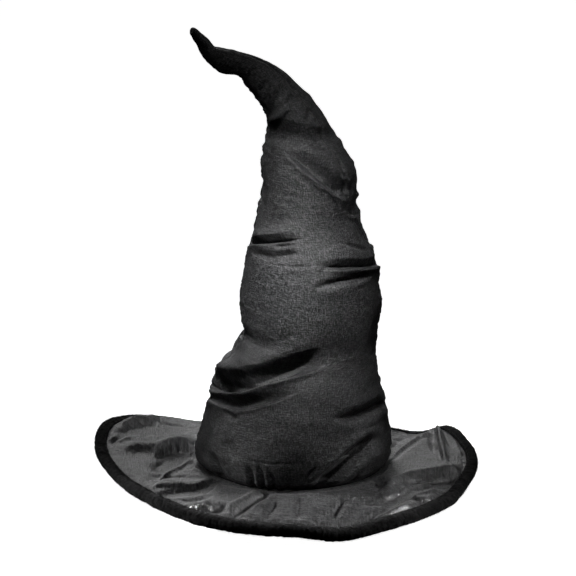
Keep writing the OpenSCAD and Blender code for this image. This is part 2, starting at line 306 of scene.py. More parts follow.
def arc_uv(P, wrap=False):
    """Cloth coordinates of a grid in metres: distance across and distance along."""
    dc = np.linalg.norm(np.diff(P, axis=1), axis=-1)
    across = np.concatenate([np.zeros((P.shape[0], 1)), np.cumsum(dc, 1)], 1)
    across = across - across[:, [P.shape[1] // 2]]
    m = P[:, P.shape[1] // 2]
    along = np.concatenate([[0], np.cumsum(np.linalg.norm(np.diff(m, axis=0), axis=-1))])
    return np.stack([across, np.broadcast_to(along[:, None], across.shape)], -1) * 0.001


def sheet_area(P):
    a, b, c, d = P[:-1, :-1], P[:-1, 1:], P[1:, 1:], P[1:, :-1]
    return float((np.linalg.norm(np.cross(c - a, d - b), axis=-1) / 2).sum()) * 1e-6


# ---------------------------------------------------------------- materials
def tree(name):
    m = bpy.data.materials.new(name)
    m.use_nodes = True
    nt = m.node_tree
    nt.nodes.clear()
    out = nt.nodes.new("ShaderNodeOutputMaterial")
    bs = nt.nodes.new("ShaderNodeBsdfPrincipled")
    nt.links.new(bs.outputs[0], out.inputs[0])
    return m, nt, bs


def node(nt, kind, **kw):
    n = nt.nodes.new("ShaderNode" + kind)
    for k, v in kw.items():
        if k in n.inputs:
            n.inputs[k].default_value = v
        else:
            setattr(n, k, v)
    return n


def link(nt, a, b):
    nt.links.new(a, b)


def coords(nt, scale, uv=True):
    c = node(nt, "TexCoord")
    m = node(nt, "Mapping")
    m.inputs["Scale"].default_value = scale
    link(nt, c.outputs["UV" if uv else "Object"], m.inputs[0])
    return m.outputs[0]


def noise_tex(nt, vec, scale, detail=3.0, rough=0.5):
    n = node(nt, "TexNoise")
    n.inputs["Scale"].default_value = scale
    n.inputs["Detail"].default_value = detail
    n.inputs["Roughness"].default_value = rough
    link(nt, vec, n.inputs["Vector"])
    return n.outputs[0]


def math_node(nt, op, a, b=None, clamp=False):
    n = node(nt, "Math", operation=op, use_clamp=clamp)
    for i, v in enumerate((a, b)):
        if v is None:
            continue
        if hasattr(v, "is_linked") or hasattr(v, "links"):
            link(nt, v, n.inputs[i])
        else:
            n.inputs[i].default_value = v
    return n.outputs[0]


def ramp(nt, fac, stops):
    n = node(nt, "ValToRGB")
    cr = n.color_ramp
    cr.elements[0].position, cr.elements[0].color = stops[0][0], (*stops[0][1], 1)
    cr.elements[1].position, cr.elements[1].color = stops[-1][0], (*stops[-1][1], 1)
    for p, c in stops[1:-1]:
        e = cr.elements.new(p)
        e.color = (*c, 1)
    link(nt, fac, n.inputs[0])
    return n.outputs[0]


def span(nt, fac, lo, hi):
    n = node(nt, "MapRange")
    n.inputs["To Min"].default_value = lo
    n.inputs["To Max"].default_value = hi
    link(nt, fac, n.inputs[0])
    return n.outputs[0]


def weave(nt, pitch, wobble=0.25, uv=True):
    """Height of a plain weave with the given thread pitch in mm."""
    k = 1000.0 / pitch
    base = coords(nt, (1, 1, 1), uv)
    sep = node(nt, "SeparateXYZ")
    link(nt, base, sep.inputs[0])
    w = noise_tex(nt, coords(nt, (160, 160, 160), uv), 1.0, 2.0)
    wob = math_node(nt, "MULTIPLY", w, wobble * 6.0)
    out = []
    for ax in (0, 1):
        a = math_node(nt, "MULTIPLY", sep.outputs[ax], k * math.pi)
        a = math_node(nt, "ADD", a, wob)
        out.append(math_node(nt, "SINE", a))
    both = math_node(nt, "MULTIPLY", out[0], out[1])
    return math_node(nt, "MULTIPLY", math_node(nt, "ADD", both, 1.0), 0.5)


def satin(name, lo, hi, rough_lo, rough_hi, sheen=0.25, grain=0.5, spec=0.5, k=1.0):
    m, nt, bs = tree(name)
    warp = noise_tex(nt, coords(nt, (760 * k, 170 * k, 1)), 1.0, 1.0, 0.5)
    weft = noise_tex(nt, coords(nt, (170 * k, 760 * k, 1)), 1.0, 1.0, 0.5)
    fleck = noise_tex(nt, coords(nt, (560 * k, 560 * k, 1)), 1.0, 1.0, 0.6)
    blot = noise_tex(nt, coords(nt, (190, 190, 1)), 1.0, 2.0, 0.5)
    cloud = noise_tex(nt, coords(nt, (22, 22, 1)), 1.0, 2.0, 0.5)
    g = math_node(nt, "ADD", math_node(nt, "MULTIPLY", warp, 0.27), math_node(nt, "MULTIPLY", weft, 0.27))
    g = math_node(nt, "ADD", g, math_node(nt, "MULTIPLY", fleck, 0.3))
    g = math_node(nt, "ADD", g, math_node(nt, "MULTIPLY", blot, 0.1))
    g = math_node(nt, "ADD", g, math_node(nt, "MULTIPLY", cloud, 0.06))
    mid_c = tuple((a * 1.0 + b) / 3 for a, b in zip(lo, hi))
    col = ramp(nt, g, [(0.40, lo), (0.50, mid_c), (0.60, hi)])
    link(nt, col, bs.inputs["Base Color"])
    link(nt, span(nt, g, rough_hi + 0.12, rough_lo - 0.12), bs.inputs["Roughness"])
    h1 = weave(nt, 0.62)
    h = math_node(nt, "ADD", math_node(nt, "MULTIPLY", h1, 0.25), math_node(nt, "MULTIPLY", g, 2.2))
    bp = node(nt, "Bump")
    bp.inputs["Strength"].default_value = grain
    bp.inputs["Distance"].default_value = 0.0008
    link(nt, h, bp.inputs["Height"])
    link(nt, bp.outputs[0], bs.inputs["Normal"])
    bs.inputs["Sheen Weight"].default_value = sheen
    bs.inputs["Sheen Roughness"].default_value = 0.45
    bs.inputs["Specular IOR Level"].default_value = spec
    return m


def plush(name):
    m, nt, bs = tree(name)
    n1 = noise_tex(nt, coords(nt, (420, 420, 420), False), 1.0, 3.0, 0.65)
    n2 = noise_tex(nt, coords(nt, (70, 70, 70), False), 1.0, 2.0, 0.5)
    v = math_node(nt, "ADD", math_node(nt, "MULTIPLY", n1, 0.7), math_node(nt, "MULTIPLY", n2, 0.3))
    link(nt, ramp(nt, v, [(0.38, (0.0016, 0.0016, 0.0017)), (0.66, (0.010, 0.010, 0.0103))]), bs.inputs["Base Color"])
    link(nt, span(nt, n1, 0.8, 1.0), bs.inputs["Roughness"])
    bp = node(nt, "Bump")
    bp.inputs["Strength"].default_value = 0.9
    bp.inputs["Distance"].default_value = 0.0012
    link(nt, n1, bp.inputs["Height"])
    link(nt, bp.outputs[0], bs.inputs["Normal"])
    bs.inputs["Sheen Weight"].default_value = 0.04
    bs.inputs["Sheen Roughness"].default_value = 0.6
    bs.inputs["Specular IOR Level"].default_value = 0.06
    return m


def felted(name, lo, hi, scale=220, sheen=0.1):
    m, nt, bs = tree(name)
    n = noise_tex(nt, coords(nt, (scale,) * 3, False), 1.0, 4.0, 0.7)
    link(nt, ramp(nt, n, [(0.3, lo), (0.7, hi)]), bs.inputs["Base Color"])
    link(nt, span(nt, n, 0.85, 1.0), bs.inputs["Roughness"])
    bp = node(nt, "Bump")
    bp.inputs["Strength"].default_value = 0.7
    bp.inputs["Distance"].default_value = 0.001
    link(nt, n, bp.inputs["Height"])
    link(nt, bp.outputs[0], bs.inputs["Normal"])
    bs.inputs["Sheen Weight"].default_value = sheen
    bs.inputs["Specular IOR Level"].default_value = 0.2
    return m


def plain_weave(name, lo, hi, pitch, rough=(0.6, 0.8), strength=0.6, uv=True):
    m, nt, bs = tree(name)
    h = weave(nt, pitch, 0.15, uv)
    n = noise_tex(nt, coords(nt, (300, 300, 300), uv), 1.0, 3.0, 0.6)
    v = math_node(nt, "ADD", math_node(nt, "MULTIPLY", h, 0.5), math_node(nt, "MULTIPLY", n, 0.5))
    link(nt, ramp(nt, v, [(0.3, lo), (0.7, hi)]), bs.inputs["Base Color"])
    link(nt, span(nt, n, *rough), bs.inputs["Roughness"])
    bp = node(nt, "Bump")
    bp.inputs["Strength"].default_value = strength
    bp.inputs["Distance"].default_value = 0.0004
    link(nt, v, bp.inputs["Height"])
    link(nt, bp.outputs[0], bs.inputs["Normal"])
    bs.inputs["Specular IOR Level"].default_value = 0.3
    return m


def ribbed(name, lo, hi, pitch):
    """Grosgrain: ribs along the cloth's short way."""
    m, nt, bs = tree(name)
    base = coords(nt, (1, 1, 1))
    sep = node(nt, "SeparateXYZ")
    link(nt, base, sep.inputs[0])
    s = math_node(nt, "SINE", math_node(nt, "MULTIPLY", sep.outputs[0], 2000 * math.pi / pitch))
    h = math_node(nt, "MULTIPLY", math_node(nt, "ADD", s, 1.0), 0.5)
    n = noise_tex(nt, coords(nt, (500, 90, 1)), 1.0, 3.0, 0.6)
    v = math_node(nt, "ADD", math_node(nt, "MULTIPLY", h, 0.6), math_node(nt, "MULTIPLY", n, 0.4))
    link(nt, ramp(nt, v, [(0.25, lo), (0.75, hi)]), bs.inputs["Base Color"])
    link(nt, span(nt, n, 0.45, 0.7), bs.inputs["Roughness"])
    bp = node(nt, "Bump")
    bp.inputs["Strength"].default_value = 0.8
    bp.inputs["Distance"].default_value = 0.0005
    link(nt, v, bp.inputs["Height"])
    link(nt, bp.outputs[0], bs.inputs["Normal"])
    return m


def hard(name, lo, hi, rough, metal):
    m, nt, bs = tree(name)
    n = noise_tex(nt, coords(nt, (900, 900, 120), False), 1.0, 3.0, 0.6)
    link(nt, ramp(nt, n, [(0.3, lo), (0.7, hi)]), bs.inputs["Base Color"])
    link(nt, span(nt, n, rough[0], rough[1]), bs.inputs["Roughness"])
    bs.inputs["Metallic"].default_value = metal
    bp = node(nt, "Bump")
    bp.inputs["Strength"].default_value = 0.2
    bp.inputs["Distance"].default_value = 0.0002
    link(nt, n, bp.inputs["Height"])
    link(nt, bp.outputs[0], bs.inputs["Normal"])
    return m


g = lambda v: (v, v, v * 1.03)
MAT = {
    "crown": satin("crown_satin", g(0.002), g(0.044), 0.44, 0.60, 0.0, 0.9, 0.18),
    "brim": satin("brim_satin", g(0.002), g(0.085), 0.22, 0.40, 0.08, 1.2, 0.6, 0.7),
    "under": satin("brim_under_satin", g(0.008), g(0.030), 0.40, 0.58, 0.06, 0.35, 0.35),
    "plush": plush("binding_plush"),
    "wadding": felted("wadding_felt", (0.62, 0.60, 0.54), (0.86, 0.84, 0.79)),
    "stiffener": felted("stiffener_felt", (0.55, 0.53, 0.48), (0.76, 0.74, 0.70), 320),
    "lining": plain_weave("lining_weave", g(0.010), g(0.034), 0.6),
    "band": ribbed("sweatband_grosgrain", g(0.006), g(0.030), 1.4),
    "tape": plain_weave("tape_twill", g(0.010), g(0.030), 0.7, uv=False),
    "thread": plain_weave("thread_twist", g(0.012), g(0.045), 0.25, uv=False),
    "label": plain_weave("label_weave", (0.74, 0.74, 0.72), (0.9, 0.9, 0.88), 0.45, (0.5, 0.7), 0.4),
    "wire": hard("wire_steel", (0.42, 0.43, 0.45), (0.62, 0.63, 0.66), (0.25, 0.42), 1.0),
    "cap": hard("cap_plastic", g(0.02), g(0.04), (0.4, 0.6), 0.0),
}


def finish_piece(o, mat, body=None, node_name=None, blend=None):
    o.data.materials.clear()
    o.data.materials.append(MAT[mat])
    if blend:
        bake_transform(o)
    else:
        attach(o, body)
    if node_name:
        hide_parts(*([node_name] if isinstance(node_name, str) else node_name))
    return o


# ------------------------------------------------------------- crown's skin
N = 200  # columns of one panel


def row_list(step, u0=0.0, u1=34.0):
    """Section numbers spaced by the longest way between them, step mm apart."""
    u = np.linspace(u0, u1, 4000)
    s = rows(CROWN, u)
    l = np.zeros(len(u))
    for k in (0, 2):
        l[1:] = np.maximum(l[1:], np.hypot(np.diff(s[:, k]), np.diff(s[:, k + 1])))
    d = np.cumsum(l)
    n = int(d[-1] / step)
    return np.interp(np.linspace(0, d[-1], n + 1), d, u)


U = np.concatenate([row_list(1.08, 0, 25)[:-1], row_list(0.9, 25, 33.94)])
seam_a = rows(CROWN, U)[:, 5]
j = np.arange(N)
A = np.concatenate([
    -seam_a[:, None] + (180 + seam_a[:, None]) * j / N,
    180 + (180 - seam_a[:, None]) * j / N], 1)  # back panel, then front panel
UU = np.broadcast_to(U[:, None], A.shape)
P0 = crown_point(UU, A)
N0 = grid_normals(P0, True)
along = np.concatenate([[0], np.cumsum(np.linalg.norm(np.diff(np.array([mid(u) for u in U]), axis=0), axis=-1))])
LL = np.broadcast_to(along[:, None], A.shape)
radius = np.hypot(rows(CROWN, U)[:, 2] - rows(CROWN, U)[:, 0], rows(CROWN, U)[:, 3] - rows(CROWN, U)[:, 1]) / 2
RR = np.broadcast_to(radius[:, None], A.shape)

view = np.array([0, -math.cos(EL), math.sin(EL)])
TILT = math.tan(EL)
facing = N0 @ view
front = smooth(facing, -0.05, 0.3)
S, T = P0[..., 0], P0[..., 2] + TILT * P0[..., 1]
BT = P0[..., 2]
back = smooth(N0[..., 1], 0.0, 0.35)

H = np.zeros(A.shape)      # height over the base, mm
DX = np.zeros(A.shape)     # shift across the view
DZ = np.zeros(A.shape)


def fold(pts, depth, width, side="front", **kw):
    global H, DX, DZ
    m = front if side == "front" else back
    if side == "front":
        pts = [(x, y * 0.9914) for x, y in pts]
    if depth > 0:
        depth, width = depth * 1.45, width * 0.92
        kw = {k: (v * 1.3 if k in ("up", "dn", "over") else v) for k, v in kw.items()}
    h, dx, dz = crease(S, T if side == "front" else BT, pts, depth, width, **kw)
    H = H + h * m
    DX = DX + dx * m
    DZ = DZ + dz * m


def signed(s, t, pts):
    """Distance to a line in a flat view, positive on its left, and the share of the way along it."""
    pts = np.asarray(pts, float)
    best = np.full(s.shape, 1e9)
    side = np.zeros(s.shape)
    along = np.zeros(s.shape)
    seg = np.hypot(*(pts[1:] - pts[:-1]).T)
    start = np.concatenate([[0], np.cumsum(seg)])
    for k, l in enumerate(seg):
        a, d = pts[k], pts[k + 1] - pts[k]
        q = np.clip(((s - a[0]) * d[0] + (t - a[1]) * d[1]) / l ** 2, 0, 1)
        dx, dy = s - (a[0] + q * d[0]), t - (a[1] + q * d[1])
        r = np.hypot(dx, dy)
        m = r < best
        best = np.where(m, r, best)
        side = np.where(m, np.where(d[0] * dy - d[1] * dx >= 0, 1.0, -1.0), side)
        along = np.where(m, (start[k] + q * l) / start[-1], along)
    return side * best, along


def pocket(pts, depth, reach, lip=2.0, side="front", fade=(0.1, 0.3), drop=1.7, wall=0.9):
    """Cloth that rolls in over reach mm from above to a sharp lip: the upper part sags over the lower."""
    global H
    m = front if side == "front" else back
    if side == "front":
        pts = [(x, y * 0.9914) for x, y in pts]
    d, al = signed(S, T if side == "front" else BT, pts)
    env = smooth(al / fade[0]) * smooth((1 - al) / fade[1])
    rise = np.where(d > 0, smooth((reach - d) / (wall * reach)), np.exp(-(d / drop) ** 2))
    roll = 0.16 * depth * bump(d, reach * 1.15, reach * 0.4)
    H = H + (-depth * rise + roll + lip * bump(d, -drop * 2.4, drop * 1.9)) * env * m


pocket([(-104, 88), (-87, 83), (-68, 81), (-51, 83), (-34, 89), (-15, 95), (6, 102), (22, 107), (43, 113)], 27.0, 23, 3.4, fade=(0.02, 0.34), wall=0.72)
pocket([(-104, 76), (-88, 72), (-76, 67), (-61, 62), (-47, 64), (-28, 69), (-10, 75), (14, 84)], 11.0, 14, 1.6, fade=(0.03, 0.5))
pocket([(34, 50), (54, 51), (70, 54), (83, 59), (98, 68)], 6.0, 12, 1.2, fade=(0.5, 0.05))
pocket([(-14, 352), (2, 338), (20, 322), (33, 311), (48, 299), (60, 294)], 9.5, 22, 1.8, fade=(0.35, 0.2))
pocket([(-60, 246), (-45, 246), (-34, 247), (-23, 248), (-10, 250), (6, 251)], 5.0, 9, 1.6, fade=(0.1, 0.35), drop=1.4)
pocket([(26, 219), (49, 220), (65, 221), (77, 221), (96, 225)], 5.0, 8, 1.8, fade=(0.35, 0.05), drop=1.4)
pocket([(-36, 368), (-18, 364), (4, 360), (25, 357), (44, 352)], 7.5, 22, 1.0, fade=(0.15, 0.25), drop=6)
# the slouch's creases, from the top down
fold([(-60, 246), (-45, 247), (-34, 248), (-23, 248), (-10, 249), (12, 251)], 4.2, 2.0, up=1.6, upw=7, dn=1.8, dnw=6, over=1.6, fade=(0.1, 0.35))
fold([(-19, 242), (-8, 243), (2, 245)], 1.8, 1.6, dn=0.6, dnw=3)
fold([(-46, 237), (-33, 232), (-24, 230), (-10, 232), (9, 234)], 2.6, 5.0)
fold([(26, 219), (49, 220), (65, 221), (77, 221), (96, 225)], 3.6, 2.0, up=-1.2, upw=5, dn=2.4, dnw=4.0, over=1.0, fade=(0.35, 0.05))
fold([(20, 197), (36, 200), (49, 203), (61, 206), (84, 211)], 3.2, 4.0, up=0.8, dn=1.0, dnw=6)
fold([(52, 246), (66, 242), (80, 238)], 1.6, 2.6)
fold([(-90, 104), (-70, 99), (-48, 100), (-30, 104), (-12, 110)], 2.4, 3.4, up=0.8, dn=0.8, fade=(0.2, 0.45))
fold([(-66, 92), (-40, 97), (-16, 104), (10, 112)], 1.8, 2.4, up=0.6, dn=0.6, fade=(0.3, 0.3))
fold([(-74, 58), (-66, 52), (-58, 46)], 1.8, 4.0)
fold([(34, 48), (54, 49), (70, 53), (83, 58), (98, 67)], 3.4, 4.2, up=1.0, dn=1.4, dnw=6, fade=(0.4, 0.05))
fold([(90, 34), (80, 24), (70, 15), (60, 6), (47, -7), (34, -18), (20, -30)], 9.5, 6.5, up=2.0, upw=8, dn=2.2, dnw=7, fade=(0.25, 0.25))
fold([(13, -18), (20, -9), (27, -2)], 2.4, 2.4, up=0.6, dn=0.6)
fold([(-90, 14), (-84, 2), (-77, -20)], 3.0, 4.5, up=0.5, dn=1.4, fade=(0.4, 0.1))
fold([(-72, 28), (-66, 13), (-59, 0)], 2.0, 5.5)
fold([(-50, 6), (-44, -14), (-42, -32)], 2.6, 3.0, fade=(0.6, 0.02), up=0.8, upw=3, dn=0.8, dnw=3)
fold([(-38, 4), (-34, -12), (-32, -32)], 2.8, 2.8, fade=(0.6, 0.02), up=0.8, upw=3, dn=0.8, dnw=3)
fold([(-28, -4), (-23, -20), (-21, -34)], 3.4, 2.4, fade=(0.6, 0.02), up=0.6, upw=3, dn=0.6, dnw=3)
fold([(-9, -6), (-7, -22), (-7, -36)], 2.8, 2.6, fade=(0.6, 0.02))
fold([(68, -8), (66, -18), (62, -30)], 1.6, 2.6, fade=(0.6, 0.02))
# the neck and tail
fold([(-29, 378), (-16, 388), (-4, 399)], -3.0, 4.0, up=-1.4, upw=4, dn=-1.2, dnw=4)
fold([(-26, 398), (-23, 413), (-17, 428)], -2.8, 3.4, up=-1.2, upw=3.5, dn=-1.2, dnw=3.5)
fold([(-12, 402), (-7, 410), (-4, 416)], -1.6, 2.4, up=-0.6, dn=-0.6)
fold([(-39, 412), (-32, 422), (-28, 430)], 1.8, 3.0)
fold([(-51, 431), (-46, 445)], -1.8, 2.2, up=-1.2, upw=2.6, dn=-1.2, dnw=2.6)
fold([(-64, 436), (-58, 450)], 1.0, 2.2, dn=0.5)
fold([(10, 378), (16, 388), (18, 400)], 1.6, 3.0)
# the back
fold([(-58, 240), (-30, 236), (0, 240), (20, 246)], 3.4, 3.0, "back", up=1.2, upw=7, dn=1.4, dnw=6, over=1.0, fade=(0.1, 0.4))
fold([(96, 222), (70, 226), (44, 222), (20, 214)], 3.6, 3.0, "back", up=1.4, upw=6, dn=1.2, dnw=6, fade=(0.1, 0.4))
fold([(90, 192), (60, 186), (34, 190)], 2.6, 4.0, "back", up=0.8, dn=1.0, fade=(0.2, 0.4))
fold([(-84, 112), (-56, 118), (-20, 126), (18, 134), (52, 138), (84, 136)], 6.0, 4.4, "back", up=1.6, upw=9, dn=2.6, dnw=7, over=2.0, fade=(0.08, 0.15))
fold([(96, 104), (66, 96), (36, 98), (8, 108)], 4.4, 4.6, "back", up=1.2, upw=8, dn=1.8, dnw=8, fade=(0.1, 0.4))
fold([(-94, 70), (-64, 62), (-36, 66)], 3.6, 5.0, "back", up=1.0, dn=1.4, dnw=7, fade=(0.1, 0.4))
fold([(70, 58), (44, 42), (24, 22), (12, 6)], 5.0, 6.0, "back", up=1.6, upw=8, dn=1.6, dnw=8)
fold([(-50, 34), (-36, 20), (-30, 4)], 3.0, 4.0, "back", up=0.8, dn=0.8, fade=(0.5, 0.1))
fold([(60, 320), (36, 304), (8, 296)], 3.6, 5.0, "back", up=1.4, upw=7, dn=1.2, dnw=7, fade=(0.15, 0.4))
fold([(-32, 330), (-14, 318), (8, 316)], 2.6, 4.0, "back", up=0.9, dn=0.9)
fold([(-34, 384), (-10, 388), (16, 398), (30, 396)], 3.0, 5.0, "back", up=0.8, dn=0.8)
for k, (x, w) in enumerate([(-70, 2.6), (-48, 2.2), (-34, 2.4), (-6, 2.6), (14, 2.2), (42, 2.4), (58, 2.2), (78, 2.6)]):
    fold([(x, 26 + 5 * (k % 3)), (x + 2 * (-1) ** k, 12), (x, -4)], 1.8, w, "back", fade=(0.7, 0.02))

# slumped lumps in the wadding, then the crinkle of taffeta
def wrinkles(P, size, seed, width, depth, mask_size, mask_lo=0.0, mask_hi=0.5):
    """Thin random creases: the level lines of a stretched noise, where another noise lets them."""
    n = noise3(P, size, seed)
    m = smooth(noise3(P, mask_size, seed + 1), mask_lo, mask_hi)
    return depth * m * (0.55 * bump(n, 3.2 * width, 2.2 * width) + 0.55 * bump(n, -3.2 * width, 2.2 * width) - bump(n, 0, width))


big = smooth(RR, 12, 45)
H += 2.2 * noise3(P0, (70, 70, 46), 3) + 1.2 * noise3(P0, (34, 34, 22), 5)
rest = 1 - 0.85 * front
H += wrinkles(P0, (70, 70, 26), 101, 0.10, 3.2, 60, 0.05, 0.5) * big * rest
H += wrinkles(P0, (34, 34, 15), 103, 0.12, 1.9, 38, 0.0, 0.45) * big * rest
H += wrinkles(P0, (20, 20, 9), 105, 0.14, 1.0, 24, 0.0, 0.5) * smooth(RR, 8, 30) * (1 - 0.8 * front)
crinkle = noise3(P0, (14, 14, 6), 7) + 0.6 * noise3(P0, (7, 7, 3.4), 9)
H += 0.34 * crinkle * smooth(RR, 8, 40)

# side seams: a valley, with gathers across it
for col, seed in ((0, 21), (N, 22)):
    d = np.radians(np.abs((A - A[:, [col]] + 180) % 360 - 180)) * RR
    sgn = np.sign((A - A[:, [col]] + 180) % 360 - 180)
    l = LL + 0.25 * d * sgn
    fine_amp = smooth(RR, 5, 30)
    gather = noise1(l, 5.5, seed) + 0.6 * noise1(l, 2.8, seed + 5)
    H += (1.0 * gather * np.exp(-(d / 9.0) ** 2) * (0.35 + 0.65 * fine_amp))
    H -= (1.5 * np.exp(-(d / 1.7) ** 2)) * (0.4 + 0.6 * fine_amp)
    H += 0.7 * np.exp(-((d - 4.5) / 3.0) ** 2) * fine_amp

# knots and spurs where the left and right seams catch
def spur(x, z, h, w):
    global H
    r = np.sqrt((P0[..., 0] - x) ** 2 + P0[..., 1] ** 2 * 0.5 + (P0[..., 2] - z) ** 2)
    H = H + h * np.exp(-(r / w) ** 2)


for x, z, h, w in [(-32, 351, 2.2, 3.2), (-41, 264, 2.4, 4.2), (-55, 201, 2.2, 3.0), (-57, 191, 2.2, 3.0),
                   (-60, 138, 3.6, 4.0), (-53, 147, -3.2, 4.0), (66, 298, 3.0, 3.6), (70, 281, 2.6, 3.4),
                   (60, 334, 1.6, 4.0), (-93, 52, 1.2, 6.0), (-65, 128, -6.0, 17.0), (-35, 310, -3.6, 13.0),
                   (-45, 250, -2.2, 14.0), (46, 357, 4.0, 9.0), (68, 277, 3.0, 9.0), (-76, 437, 3.2, 8.0),
                   (-50, 422, 2.6, 9.0), (88, 66, -1.5, 9.0)]:
    spur(x, z, h, w)

# the base rolls under to the seam with the brim
zb = P0[..., 2]
H -= 6.5 * smooth(1 - zb / 11.0) ** 1.5
H *= np.where(zb < 14, 0.35 + 0.65 * smooth(zb, 0, 14), 1.0) if False else 1.0
# the closed end of the tip stays small
H *= np.broadcast_to(smooth(34 - U, 0.0, 1.6)[:, None], A.shape)
limit = np.minimum(RR * 0.34, 30.0)
H = limit * np.tanh(H / limit)

PS = P0 + N0 * H[..., None]
PS[..., 0] += DX
PS[..., 2] += DZ
PS[..., 2] = np.where(zb < 12, np.maximum(PS[..., 2], 0.25 + 0 * zb), PS[..., 2])
NS = grid_normals(PS, True)
CLOTH = 0.9


def cut(u):
    return int(np.argmin(np.abs(U - u)))


ring = np.concatenate([np.arange(2 * N), [0]])
parts = {"low": (0, cut(13.4)), "mid": (cut(13.4), cut(25.4)), "tip": (cut(25.4), len(U) - 1)}
hinge = lambda k: np.array([HINGE[k][0], 0, HINGE[k][1]]) * 0.001
m2 = lambda u: tuple(mid(u) * 0.001)
BLENDS = {
    "low": ("hat_base", "crown_upper", (0.0175, 0, 0.112), (0.0175, 0, 0.182)),
    "mid": ("crown_upper", "tail", m2(18.9), m2(23.4)),
    "tip": ("tail", "tip", m2(27.6), m2(30.4)),
}
skins = {}
uv_all = {}
for side, c0 in (("back", 0), ("front", N)):
    uv_all[side] = arc_uv(PS[:, ring[c0:c0 + N + 1]])
    uv_all[side][..., 1] = LL[:, :1] * 0.001
TUCK = 6
for part, (i0, i1) in parts.items():
    t0 = 0 if part == "low" else TUCK
    t1 = 0 if part == "tip" else TUCK
    r0, r1 = i0 - t0, i1 + 1 + t1
    dip = np.zeros(r1 - r0)
    if t0:
        dip[:t0] = 0.7 * (np.arange(t0, 0, -1) / t0) ** 2
    if t1:
        dip[-t1:] = 0.7 * (np.arange(1, t1 + 1) / t1) ** 2
    for side, c0 in (("back", 0), ("front", N)):
        cols = np.arange(c0, c0 + N + 1)
        if part == "tip":
            cols = cols[::2]
        P = PS[r0:r1][:, ring[cols]] - NS[r0:r1][:, ring[cols]] * dip[:, None, None]
        Nn = NS[r0:r1][:, ring[cols]]
        name = "crown_%s_panel_%s" % (side, part)
        thick = np.minimum(CLOTH, 0.25 * RR[r0:r1][:, ring[cols]])[..., None]
        o = shell(name, P, thick, False, uv_all[side][r0:r1][:, cols - c0], Nn)
        o.data.set_sharp_from_angle(angle=math.radians(62))
        finish_piece(o, "crown", node_name="crown_%s_panel" % side, blend=BLENDS[part])
        a = sheet_area(P)
        w_ = float(np.linalg.norm(np.diff(P, axis=1), axis=-1).sum(1).max()) * 1e-3
        l_ = float(np.linalg.norm(np.diff(P, axis=0), axis=-1).sum(0).max()) * 1e-3
        w_ = max(w_, a / l_ / 0.98)
        skins[name] = o

# ---------------------------------------------------------------- wadding
def lowest(H, r):
    M = H.copy()
    for k in range(-r, r + 1, 2):
        M = np.minimum(M, np.roll(H, k, 1))
    M2 = M.copy()
    for k in range(-r, r + 1, 2):
        M2 = np.minimum(M2, np.roll(M, k, 0) if k else M)
    return M2


HL = np.minimum(lowest(H, 6), 0) - 1.0 - CLOTH
fold_t = np.abs(np.cos(np.radians(A)))


def padding(name, r0, r1, node_name, blend):
    rr = np.arange(r0, r1, 5)
    cc = np.arange(0, 2 * N, 5)
    P = (P0 + N0 * HL[..., None])[rr][:, cc]
    Q = (P0 + N0 * (HL[..., None] - 3.4))[rr][:, cc]
    o = shell(name, P, 3, True, None, None, Q)
    o.data.materials.clear()
    finish_piece(o, "wadding", None, node_name, blend)
    return o


low_end = cut(8.05)
up_start = cut(9.65)
padding("crown_wadding_low_pad", cut(0.25), low_end, "crown_wadding_lower", BLENDS["low"])
padding("crown_wadding_high_pad", up_start, cut(19.9), "crown_wadding_upper", BLENDS["mid"])


def around_wire(name, u0, u1, r_out, r_in, step, cols, mat, nodes, blend):
    """A sleeve round the spine: out to the cloth's back (r_out None) or to a radius, in to radius r_in."""
    rr = np.unique(np.append(np.arange(cut(u0), cut(u1), step), cut(u1)))
    cc = np.arange(0, 2 * N, 2 * N // cols)
    c = np.array([mid(u) for u in U[rr]])[:, None]
    out = P0[rr][:, cc] - c
    if r_out is None:
        room = np.minimum(radius, rows(CROWN, U)[:, 4])[rr][:, None]
        h = np.maximum(HL[rr][:, cc], -(room - r_in - 1.0))
        P = P0[rr][:, cc] + N0[rr][:, cc] * h[..., None]
    else:
        P = c + out / np.linalg.norm(out, axis=-1, keepdims=True) * r_out
    Q = c + out / np.linalg.norm(out, axis=-1, keepdims=True) * r_in
    o = shell(name, P, 1, True, None, None, Q)
    outward(o)
    return finish_piece(o, mat, None, nodes, blend)


around_wire("tail_stuffing_fill", 16.9, 25.3, None, 2.1, 4, 80, "wadding", ["neck_stuffing", "tail_stuffing"], BLENDS["mid"])
around_wire("tip_stuffing_fill", 25.4, 31.1, None, 2.1, 4, 50, "wadding", "tip_stuffing", BLENDS["tip"])
# the casing is a strip of tape sewn into a tube; its flat width is the tube's round
for name, u0, u1, blend, inner in (("wire_casing_neck", 16.5, 25.4, "mid", "tail_stuffing"), ("wire_casing_tip", 25.4, 31.0, "tip", "tip_stuffing")):
    o = around_wire(name, u0, u1, 1.7, 1.3, 4, 20, "tape", "wire_casing", BLENDS[blend])

# ----------------------------------------------------------------- lining
LU = row_list(4.0, 0.0, 14.6)
LA = np.arange(0, 360, 2.5)
LP = crown_point(LU[:, None] + 0 * LA, LA + 0 * LU[:, None])
LN = grid_normals(LP, True)
wr = 1.1 * noise3(LP, (34, 34, 26), 31) + 0.5 * noise3(LP, (12, 12, 22), 33)
flat_ = np.broadcast_to((smooth(LU * 9, 6, 22))[:, None], wr.shape)
LI = np.clip(np.searchsorted(U, LU), 0, len(U) - 1)
LJ = np.array([[int(np.argmin(np.abs((A[i] - a + 180) % 360 - 180))) for a in LA] for i in LI])
deep = lowest(HL, 8)[LI[:, None], LJ] - 3.4 - 0.6
LH = np.minimum(-(7.3 + (1.3 + wr) * flat_), deep)
LH = np.where(LU[:, None] < 1.0, -(7.3 + (1.3 + wr) * flat_), LH)
dome = []
n_d = 14
last_c, last_r = mid(14.6), None
top_c = mid(15.5)
LP1 = LP + LN * LH[..., None]
